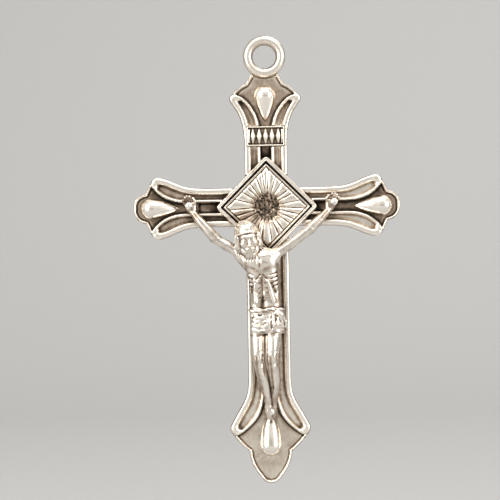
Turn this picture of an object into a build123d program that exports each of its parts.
from build123d import *
import math
import os

os.makedirs("parts", exist_ok=True)

# Crucifix pendant, hanging upright. Millimetres.
# X is the width, +Z the height, and the front faces -Y.
# The origin is the centre of the suspension eye's bore, half way through its thickness.

# ---- driving dimensions ----
EYE_BORE_R = 1.30        # hole that a jump ring or cord goes through
EYE_OUT_R = 2.42         # outside radius of the eye
EYE_THICK = 1.60         # along the bore
EYE_LAND = 0.70          # straight cylindrical stretch of the bore

BACK_Y = 0.80            # the flat back of the cross
CROSS_Z = -17.05         # height of the crossing's centre
T_LOW = 0.85             # thickness of the plates between the petals
T_CHANNEL = 1.20         # thickness under the channels
T_BRIDGE = 1.00          # thickness of the bridge behind the corpus
T_RIM = 1.12             # thickness at the thin rim round the lobes
T_RIDGE = 1.75           # thickness at the ridges
T_BEZEL = 2.00           # thickness at the crossing's bezel
RIDGE_W = 0.42           # width of a ridge
RIM_W = 0.28             # width of the thin rim round the lobes
SLOT_HALF = 0.60         # half width of the sunk slots
SLOT_FLOOR = 0.30        # thickness of the web left behind them

VERT_HALF = 2.42         # half width of the upright
HORIZ_HALF = 2.20        # half width of the crossbar

BEZEL_DIAG = 5.80        # half diagonal of the crossing's bezel
POCKET_DIAG = 5.20       # half diagonal of the pocket in it
PLATE_DIAG = 4.94        # half diagonal of the sunburst plate
PLATE_FLOOR = 0.80       # thickness left under the sunburst plate
PLATE_T = 0.95           # thickness of the sunburst plate at its rim
RAYS = 26                # rays on the sunburst plate
STIPPLE_R = 1.51         # radius of the plate's sunk centre

SPIGOT_R = 0.40          # spigots under the bosses and the plaque
NAIL_R = 0.24            # nail shanks
NAIL_HEAD_R = 0.40
PEG_R = 0.55             # peg behind the corpus
FIT = 0.02               # radial clearance of spigots, pegs and nails

LEFT_HAND = (-8.80, -16.80)    # x and z of the nails
RIGHT_HAND = (7.58, -16.60)
FOOT_NAIL = (0.07, -40.15)
PEG_Z = -29.2
CORPUS_BACK_Y = -0.95    # the back of the corpus lies on the ridges


def front(thickness):
    """y of the front face of something this thick, standing on the back plane."""
    return BACK_Y - thickness


def slab(sketch, t0, t1):
    """The sketch, drawn in X and Z, as a slab between thicknesses t0 and t1 above the back plane."""
    return extrude(Plane.XZ.offset(-BACK_Y + t0) * sketch, amount=t1 - t0)


def on_arm(points, turn):
    """Points given as (distance out from the crossing, offset across), turned onto an arm.

    turn is 0 for the right arm, 1 for the top, 2 for the left and 3 for the foot."""
    out = []
    for u, v in points:
        for _ in range(turn):
            u, v = -v, u
        out.append((u, v + CROSS_Z))
    return out


def outline(half, turn):
    """A closed arm outline from its upper half: a list of ("line" | "spline" | "arc", points)."""
    edges = []
    for sign in (1, -1):
        for kind, pts in half:
            p = on_arm([(u, sign * v) for u, v in pts], turn)
            if kind == "line":
                edges.append(Polyline(*p))
            elif kind == "spline":
                edges.append(Spline(*p))
            else:
                edges.append(ThreePointArc(*p))
    first, last = half[0][1][0], half[-1][1][-1]
    edges.append(Line(*on_arm([(first[0], first[1]), (first[0], -first[1])], turn)))
    if abs(last[1]) > 1e-9:
        edges.append(Line(*on_arm([(last[0], last[1]), (last[0], -last[1])], turn)))
    return make_face(edges)


def closed(parts, turn, flip):
    """One petal outline, with v flipped where flip is -1."""
    edges = []
    for kind, pts in parts:
        p = on_arm([(u, flip * v) for u, v in pts], turn)
        edges.append(Polyline(*p) if kind == "line" else Spline(*p) if kind == "spline" else ThreePointArc(*p))
    return make_face(edges)


# ---- silhouette of each arm, upper half, as (out, across) ----
SIDE_OUTER = [(6.8, HORIZ_HALF), (8.2, 2.26), (9.3, 2.46), (10.3, 2.84), (11.2, 3.22), (12.0, 3.46)]
SIDE = [
    ("line", [(0, HORIZ_HALF), (6.8, HORIZ_HALF)]),
    ("spline", SIDE_OUTER),
    ("arc", [(12.0, 3.46), (12.85, 3.30), (13.18, 2.85)]),
    ("line", [(13.18, 2.85), (13.74, 1.68)]),
    ("arc", [(13.74, 1.68), (14.70, 1.22), (15.10, 0.0)]),
]
TOP_OUTER = [(7.3, VERT_HALF), (8.6, 2.52), (9.7, 2.74), (10.6, 3.08), (11.4, 3.56), (12.0, 3.97)]
TOP = [
    ("line", [(0, VERT_HALF), (7.3, VERT_HALF)]),
    ("spline", TOP_OUTER),
    ("arc", [(12.0, 3.97), (12.42, 4.06), (12.75, 3.78)]),
    ("spline", [(12.75, 3.78), (13.30, 3.24), (13.75, 2.68), (14.02, 2.14)]),
    ("line", [(14.02, 2.14), (15.20, 1.46)]),
]
FOOT_OUTER = [(19.6, VERT_HALF), (20.9, 2.56), (21.9, 2.90), (22.8, 3.40), (23.7, 3.92), (24.6, 4.40)]
FOOT = [
    ("line", [(0, VERT_HALF), (19.6, VERT_HALF)]),
    ("spline", FOOT_OUTER),
    ("arc", [(24.6, 4.40), (25.15, 4.56), (25.65, 4.38)]),
    ("line", [(25.65, 4.38), (26.6, 3.62), (27.35, 2.90), (27.72, 2.42)]),
    ("spline", [(27.72, 2.42), (28.5, 2.32), (29.3, 2.04), (30.1, 1.58), (30.6, 1.18)]),
    ("arc", [(30.6, 1.18), (31.133, 0.694), (31.33, 0.0)]),
]

# ---- petals: the raised rails, from the crossing out to their tips ----
SIDE_INNER = [(8.0, SLOT_HALF), (9.1, 0.60), (10.1, 0.68), (10.9, 0.90), (11.6, 1.20), (12.2, 1.62), (12.66, 2.05), (13.0, 2.50)]
SIDE_PETAL = [
    ("line", [(3.6, SLOT_HALF), (3.6, HORIZ_HALF), (6.8, HORIZ_HALF)]),
    ("spline", SIDE_OUTER),
    ("arc", [(12.0, 3.46), (12.90, 3.24), (13.0, 2.50)]),
    ("spline", SIDE_INNER[::-1]),
    ("line", [(8.0, SLOT_HALF), (3.6, SLOT_HALF)]),
]
TOP_INNER = [(8.0, SLOT_HALF), (9.2, 0.72), (10.15, 0.96), (11.0, 1.36), (11.8, 1.92), (12.35, 2.50), (12.66, 3.15)]
TOP_PETAL = [
    ("line", [(3.6, SLOT_HALF), (3.6, VERT_HALF), (7.3, VERT_HALF)]),
    ("spline", TOP_OUTER),
    ("arc", [(12.0, 3.97), (12.68, 3.82), (12.66, 3.15)]),
    ("spline", TOP_INNER[::-1]),
    ("line", [(8.0, SLOT_HALF), (3.6, SLOT_HALF)]),
]
FOOT_INNER = [(20.8, SLOT_HALF), (21.8, 0.70), (22.6, 0.90), (23.4, 1.20), (24.1, 1.64), (24.8, 2.28), (25.4, 3.02), (25.8, 3.66)]
FOOT_PETAL = [
    ("line", [(3.6, SLOT_HALF), (3.6, VERT_HALF), (19.6, VERT_HALF)]),
    ("spline", FOOT_OUTER),
    ("arc", [(24.6, 4.40), (25.55, 4.30), (25.8, 3.66)]),
    ("spline", FOOT_INNER[::-1]),
    ("line", [(20.8, SLOT_HALF), (3.6, SLOT_HALF)]),
]


def diamond(half_diag):
    """A square standing on its corner, centred on the crossing."""
    pts = [(half_diag, CROSS_Z), (0, CROSS_Z + half_diag), (-half_diag, CROSS_Z), (0, CROSS_Z - half_diag)]
    return make_face(Polyline(*pts, close=True))


def slot(turn, u0, u1):
    """A sunk slot on one arm, square at the crossing and rounded at its outer end."""
    p = on_arm([(u0, -SLOT_HALF), (u0, SLOT_HALF), (u1, SLOT_HALF), (u1 + SLOT_HALF * 0.8, 0), (u1, -SLOT_HALF)], turn)
    return make_face([Polyline(p[4], p[0], p[1], p[2]), ThreePointArc(p[2], p[3], p[4])])


def hole(x, z, r, t0=-1.0, t1=9.0):
    """A round cutter along Y."""
    return slab(Pos(x, z) * Circle(r), t0, t1)


def sampled(edges, step):
    """Points along edges laid end to end, about this far apart."""
    pts = []
    for kind, p in edges:
        if kind == "line":
            lines = [Line(a, b) for a, b in zip(p, p[1:])]
        else:
            lines = [Spline(*p) if kind == "spline" else ThreePointArc(*p)]
        for e in lines:
            n = max(2, int(math.ceil(e.length / step)))
            for i in range(n):
                q = e @ (i / n)
                pts.append((q.X, q.Y))
    last = edges[-1][1][-1]
    pts.append((last[0], last[1]))
    return pts


def inset(pts, width, is_closed):
    """The points moved sideways by width, to the right of their direction, without those that then crowd the line."""
    n = len(pts)
    segs = [(pts[i], pts[(i + 1) % n]) for i in range(n if is_closed else n - 1)]

    def clear(q):
        best = 1e9
        for (ax, ay), (bx, by) in segs:
            dx, dy = bx - ax, by - ay
            l2 = dx * dx + dy * dy
            t = 0.0 if l2 == 0 else max(0.0, min(1.0, ((q[0] - ax) * dx + (q[1] - ay) * dy) / l2))
            best = min(best, math.hypot(q[0] - ax - t * dx, q[1] - ay - t * dy))
        return best >= width * 0.985

    out = []
    for (ax, ay), (bx, by) in segs:
        l = math.hypot(bx - ax, by - ay)
        if l < 1e-6:
            continue
        nx, ny = (by - ay) / l, -(bx - ax) / l
        q = ((ax + bx) / 2 + nx * width, (ay + by) / 2 + ny * width)
        if clear(q):
            out.append(q)
    return out


# ---- cross_frame ----
arms = [(SIDE, 0), (TOP, 1), (SIDE, 2), (FOOT, 3)]
silhouette = diamond(BEZEL_DIAG)
for half, turn in arms:
    silhouette += outline(half, turn)

frame = slab(silhouette, 0.0, T_LOW)

# the thin rim round the lobes of the flared ends
for half, turn in arms:
    lobe = half[3:]
    path = sampled(lobe, 0.18)
    if abs(path[-1][1]) < 1e-9:
        path += [(u, -v) for u, v in path[-2::-1]]
        bands = [path]
    else:
        bands = [path, [(u, -v) for u, v in path[::-1]]]
    for band in bands:
        inner = inset(band, RIM_W, False)
        ring = make_face(Polyline(*on_arm(band + inner[::-1], turn), close=True))
        frame += slab(ring, T_LOW, T_RIM)

# raised petals with their channels
for shape, turn in [(SIDE_PETAL, 0), (TOP_PETAL, 1), (SIDE_PETAL, 2), (FOOT_PETAL, 3)]:
    ring = sampled(shape, 0.22)[:-1]
    channel = inset(ring, RIDGE_W, True)
    for flip in (1, -1):
        body = slab(closed(shape, turn, flip), 0.0, T_RIDGE)
        body -= slab(make_face(Polyline(*on_arm([(u, flip * v) for u, v in channel], turn), close=True)), T_CHANNEL, T_RIDGE + 1.0)
        frame += body

# bezel round the crossing, with the sunburst plate's pocket
bezel_outer = diamond(BEZEL_DIAG)
frame -= slab(diamond(BEZEL_DIAG - 0.2), T_LOW, 6.0)
frame += slab(bezel_outer, 0.0, T_BEZEL)
frame -= slab(diamond(POCKET_DIAG), PLATE_FLOOR, 6.0)

# blind slots: left, right and top arms, and two in the upright below the crossing, each with a thin web behind it
SLOT_IN = BEZEL_DIAG - SLOT_HALF         # where the bezel's outside crosses the slots' edges
for turn, u0, u1 in [(2, SLOT_IN, 7.3), (0, SLOT_IN, 6.55), (1, SLOT_IN, 7.6), (3, SLOT_IN, 10.6), (3, 13.8, 21.6)]:
    frame -= slab(slot(turn, u0, u1) - bezel_outer, SLOT_FLOOR, 6.0)

# the solid bridge behind the corpus's hips, between the two slots, takes the corpus's peg
frame += slab(Pos(0, PEG_Z) * Rectangle(2 * SLOT_HALF + 0.2, 2.0), 0.0, T_BRIDGE)

# seats for the eye's tenon, the spigots, the nails and the peg
TENON_W, TENON_T, TENON_END = 1.30, 0.40, -3.30      # the eye's tenon, which ends at this height
TENON_Y = BACK_Y - T_LOW / 2
frame -= slab(Circle(EYE_OUT_R + 0.005), -1.0, 6.0)          # saddle for the eye's rim
frame -= Pos(0, TENON_Y, TENON_END / 2 - FIT) * Box(TENON_W + 2 * FIT, TENON_T + 2 * FIT, -TENON_END)
BOSSES = {
    "right_boss": (0, 13.05, 1.24, 9.75),
    "top_boss": (1, 12.62, 1.24, 9.60),
    "left_boss": (2, 13.05, 1.24, 9.75),
    "foot_boss": (3, 27.10, 1.22, 23.45),
}
for turn, u, r, tip in BOSSES.values():
    (x, z), = on_arm([(u, 0)], turn)
    frame -= hole(x, z, SPIGOT_R + FIT)
PLAQUE_Z0, PLAQUE_Z1, PLAQUE_HALF = -10.18, -7.95, 2.14
PLAQUE_SPIGOT_X = 1.50
PLAQUE_MID = (PLAQUE_Z0 + PLAQUE_Z1) / 2
PLAQUE_SEAT, PLAQUE_TOP = T_CHANNEL, 1.90     # thickness where the plaque's back sits, and at its rim
frame -= slab(Pos(0, PLAQUE_MID) * Rectangle(2 * (PLAQUE_HALF + FIT), PLAQUE_Z1 - PLAQUE_Z0 + 2 * FIT), PLAQUE_SEAT, 6.0)
for sx in (-1, 1):
    frame -= hole(sx * PLAQUE_SPIGOT_X, PLAQUE_MID, 0.30 + FIT)
for x, z in (LEFT_HAND, RIGHT_HAND, FOOT_NAIL):
    frame -= hole(x, z, NAIL_R + FIT)
frame -= hole(0, PEG_Z, PEG_R + FIT)
frame -= hole(0, CROSS_Z, SPIGOT_R + FIT)


# ---- suspension_eye: a ring with a straight land in its bore, on a tenon ----
profile = make_face([
    Line((EYE_BORE_R, -EYE_LAND / 2), (EYE_BORE_R, EYE_LAND / 2)),
    ThreePointArc((EYE_BORE_R, EYE_LAND / 2), (EYE_BORE_R + 0.17, 0.66), (1.86, EYE_THICK / 2)),
    ThreePointArc((1.86, EYE_THICK / 2), (2.25, 0.64), (EYE_OUT_R, 0.22)),
    Line((EYE_OUT_R, 0.22), (EYE_OUT_R, -0.22)),
    ThreePointArc((EYE_OUT_R, -0.22), (2.25, -0.64), (1.86, -EYE_THICK / 2)),
    ThreePointArc((1.86, -EYE_THICK / 2), (EYE_BORE_R + 0.17, -0.66), (EYE_BORE_R, -EYE_LAND / 2)),
])
eye = revolve(profile, axis=Axis.Y)
tenon_top = -1.95
eye += Pos(0, TENON_Y, (tenon_top + TENON_END) / 2) * Box(TENON_W, TENON_T, tenon_top - TENON_END)


# ---- sunburst_plate: a square on its corner, with rays cut round a sunk, stippled centre ----
plate_front = PLATE_FLOOR + PLATE_T
plate = slab(diamond(PLATE_DIAG), PLATE_FLOOR, plate_front)
for k in range(RAYS):
    a = 360.0 * (k + 0.5) / RAYS
    # how far the ray can run before it meets the plate's rim
    ca, sa = abs(math.cos(math.radians(a))), abs(math.sin(math.radians(a)))
    reach = (PLATE_DIAG - 0.42) / (ca + sa)
    if reach < STIPPLE_R + 0.3:
        continue
    length = reach - STIPPLE_R + 0.2
    groove = extrude(Plane.XY * make_face(Polyline((0, -0.05), (length, -0.22), (length + 0.12, 0), (length, 0.22), (0, 0.05), close=True)), amount=0.5)
    cutter = Plane(origin=(0, front(plate_front - 0.13), CROSS_Z), x_dir=(math.cos(math.radians(a)), 0, math.sin(math.radians(a))), z_dir=(0, -1, 0)) * Pos(STIPPLE_R - 0.2, 0, 0) * groove
    plate -= cutter
plate -= slab(Pos(0, CROSS_Z) * Circle(STIPPLE_R), plate_front - 0.20, 6.0)
plate += slab(Pos(0, CROSS_Z) * Circle(SPIGOT_R), 0.0, PLATE_FLOOR + 0.1)

# ---- title_plaque: a bordered tablet with a row of five lozenges between two end bars ----
plaque_face = Pos(0, PLAQUE_MID) * Rectangle(2 * PLAQUE_HALF, PLAQUE_Z1 - PLAQUE_Z0)
plaque = slab(plaque_face, PLAQUE_SEAT, PLAQUE_TOP)
plaque -= slab(Pos(0, PLAQUE_MID) * Rectangle(2 * PLAQUE_HALF - 0.40, PLAQUE_Z1 - PLAQUE_Z0 - 0.44), PLAQUE_TOP - 0.22, 6.0)
for k in range(5):
    x = (k - 2) * 0.72
    loz = Pos(x, PLAQUE_MID) * make_face(Polyline((0.30, 0), (0, 0.72), (-0.30, 0), (0, -0.72), close=True))
    plaque += slab(loz, PLAQUE_TOP - 0.30, PLAQUE_TOP)
for sx in (-1, 1):
    plaque += slab(Pos(sx * 1.86, PLAQUE_MID) * Rectangle(0.22, 1.50), PLAQUE_TOP - 0.30, PLAQUE_TOP)
for sx in (-1, 1):
    plaque += slab(Pos(sx * PLAQUE_SPIGOT_X, PLAQUE_MID) * Circle(0.30), 0.0, PLAQUE_SEAT + 0.1)


# ---- bosses: convex teardrops, round end outwards ----
def teardrop(turn, u, r, tip):
    """Turned about the arm's axis, cut flat on the plate, with a spigot through to the back."""
    bulge, taper = (1.9, 0.62) if turn == 3 else (1.35, 0.85)
    flank = [(tip, 0)] + [(u - (u - tip) * s, 0.08 + (r - 0.08) * (1 - s**bulge) ** taper) for s in (0.92, 0.8, 0.6, 0.4, 0.2, 0.0)]
    half = make_face([
        Spline(*flank),
        ThreePointArc((u, r), (u + r * math.cos(math.radians(45)), r * math.sin(math.radians(45))), (u + r, 0)),
        Line((u + r, 0), (tip, 0)),
    ])
    drop = revolve(half, axis=Axis.X)
    drop = Rot(0, -90 * turn, 0) * drop
    y = front(T_LOW) + 0.12
    drop = Pos(0, y, CROSS_Z) * drop
    drop -= Pos(0, y + 5 - 0.12, CROSS_Z) * Box(80, 10, 80)
    (x, z), = on_arm([(u, 0)], turn)
    return drop + slab(Pos(x, z) * Circle(SPIGOT_R), 0.0, T_LOW + 0.3)


bosses = {name: teardrop(*spec) for name, spec in BOSSES.items()}


# ---- corpus ----
def limb(*stations):
    """A limb through round stations (x, y, z, radius)."""
    solids = []
    for (ax, ay, az, ar), (bx, by, bz, br) in zip(stations, stations[1:]):
        a, b = Vector(ax, ay, az), Vector(bx, by, bz)
        h = (b - a).length
        solids.append(Plane(origin=a, z_dir=b - a) * Cone(ar, br, h, align=(Align.CENTER, Align.CENTER, Align.MIN)))
    for x, y, z, r in stations:
        solids.append(Pos(x, y, z) * Sphere(r))
    return solids


def egg(x, y, z, rx, ry, rz, lean=0.0):
    """An ellipsoid, leaned in the plane of the cross by so many degrees."""
    return Pos(x, y, z) * Rot(0, lean, 0) * scale(Sphere(1.0), by=(rx, ry, rz))


torso = loft([
    Plane(origin=(x, y, z), x_dir=(1, 0, 0), z_dir=(0, 0, -1)) * Ellipse(rx, ry)
    for x, y, z, rx, ry in [
        (-1.35, -2.00, -22.00, 1.50, 0.70),
        (-1.05, -2.05, -23.00, 1.90, 1.00),
        (-0.75, -2.05, -24.20, 1.80, 1.05),
        (-0.48, -1.95, -25.80, 1.60, 0.90),
        (-0.40, -1.85, -27.60, 1.50, 0.80),
        (-0.25, -1.90, -28.60, 1.62, 0.88),
    ]])
cloth = loft([
    Plane(origin=(x, y, z), x_dir=(1, 0, 0), z_dir=(0, 0, -1)) * Ellipse(rx, ry)
    for x, y, z, rx, ry in [
        (-0.30, -1.90, -28.25, 1.80, 1.00),
        (-0.15, -2.00, -29.30, 1.95, 1.12),
        (-0.05, -2.05, -30.90, 2.05, 1.12),
    ]])
pieces = [cloth]
pieces += limb((-3.05, -2.00, -22.15, 0.62), (-5.85, -1.80, -20.50, 0.60), (-8.10, -1.50, -17.90, 0.42))
pieces += limb((-8.10, -1.50, -17.90, 0.42), (-8.80, -1.48, -16.80, 0.50))
pieces += limb((-8.90, -1.46, -16.60, 0.34), (-9.10, -1.40, -15.85, 0.22))
pieces += limb((0.45, -2.00, -22.50, 0.62), (4.95, -1.80, -19.45, 0.56), (6.75, -1.50, -17.70, 0.40))
pieces += limb((6.75, -1.50, -17.70, 0.40), (7.58, -1.48, -16.60, 0.50))
pieces += limb((7.70, -1.46, -16.40, 0.34), (8.10, -1.40, -15.75, 0.22))
pieces += limb((-1.15, -2.05, -30.60, 0.88), (-1.31, -2.42, -33.10, 0.72), (-1.24, -2.54, -34.30, 0.62), (-0.80, -2.16, -36.40, 0.60), (-0.30, -1.84, -38.60, 0.43), (-0.18, -1.72, -39.60, 0.36))
pieces += limb((0.50, -2.05, -30.60, 0.92), (0.35, -2.44, -33.10, 0.76), (0.33, -2.54, -34.30, 0.65), (0.51, -1.98, -36.60, 0.59), (0.44, -1.58, -38.70, 0.42), (0.34, -1.46, -39.60, 0.35))
pieces += limb((0.10, -1.45, -39.70, 0.60), (0.08, -1.28, -40.62, 0.50))
pieces.append(egg(-2.22, -2.70, -20.40, 1.30, 1.40, 1.95, 8.0))      # head
pieces.append(egg(-2.50, -2.65, -19.55, 1.50, 1.36, 1.25, 8.0))      # hair
pieces.append(egg(-1.98, -3.10, -21.95, 0.80, 0.75, 0.95, 8.0))      # beard
pieces += limb((-3.35, -2.35, -20.0, 0.50), (-3.30, -2.20, -21.6, 0.42))     # locks of hair
pieces += limb((-1.20, -2.35, -20.0, 0.50), (-0.55, -2.15, -21.8, 0.42))
pieces += limb((-1.95, -2.00, -21.6, 0.70), (-1.35, -1.95, -22.5, 0.85))     # neck
pieces += limb((-2.30, -4.02, -20.25, 0.16), (-2.24, -4.16, -20.75, 0.22))   # nose
corpus = torso.fuse(*[w for p in pieces for w in p.solids()])
corpus = Part() + corpus
corpus -= Pos(0, CORPUS_BACK_Y + 5, -21.5) * Box(60, 10, 34)
corpus += slab(Pos(0, PEG_Z) * Circle(PEG_R), 0.0, BACK_Y + 1.6)
corpus += slab(Pos(*FOOT_NAIL) * Circle(0.36), T_LOW, BACK_Y + 1.1)
HAND_SEAT, FOOT_SEAT = -2.02, -1.80      # y of the undersides of the nail heads
for (x, z), y in ((LEFT_HAND, HAND_SEAT), (RIGHT_HAND, HAND_SEAT), (FOOT_NAIL, FOOT_SEAT)):
    corpus -= hole(x, z, NAIL_R + FIT)
    corpus -= hole(x, z, NAIL_HEAD_R + FIT, BACK_Y - y, 9.0)


# ---- nails ----
def nail(x, z, head_y):
    """A nail driven from the front: domed head, shank flush with the back of the cross."""
    shank = slab(Pos(x, z) * Circle(NAIL_R), 0.0, BACK_Y - head_y + 0.05)
    head = Pos(x, head_y, z) * Rot(90, 0, 0) * Cone(NAIL_HEAD_R, NAIL_HEAD_R * 0.6, 0.26, align=(Align.CENTER, Align.CENTER, Align.MIN))
    return shank + head


hand_nails = Compound(children=[nail(*LEFT_HAND, HAND_SEAT), nail(*RIGHT_HAND, HAND_SEAT)])
foot_nail = nail(*FOOT_NAIL, FOOT_SEAT)

parts = {
    "cross_frame": frame,
    "suspension_eye": eye,
    "sunburst_plate": plate,
    "title_plaque": plaque,
    **bosses,
    "corpus": corpus,
    "hand_nails": hand_nails,
    "foot_nail": foot_nail,
}
for name, shape in parts.items():
    solids = shape.solids()
    print(name, len(solids), round(sum(w.volume for w in solids), 3))
    export_step(shape, f"parts/{name}.step")
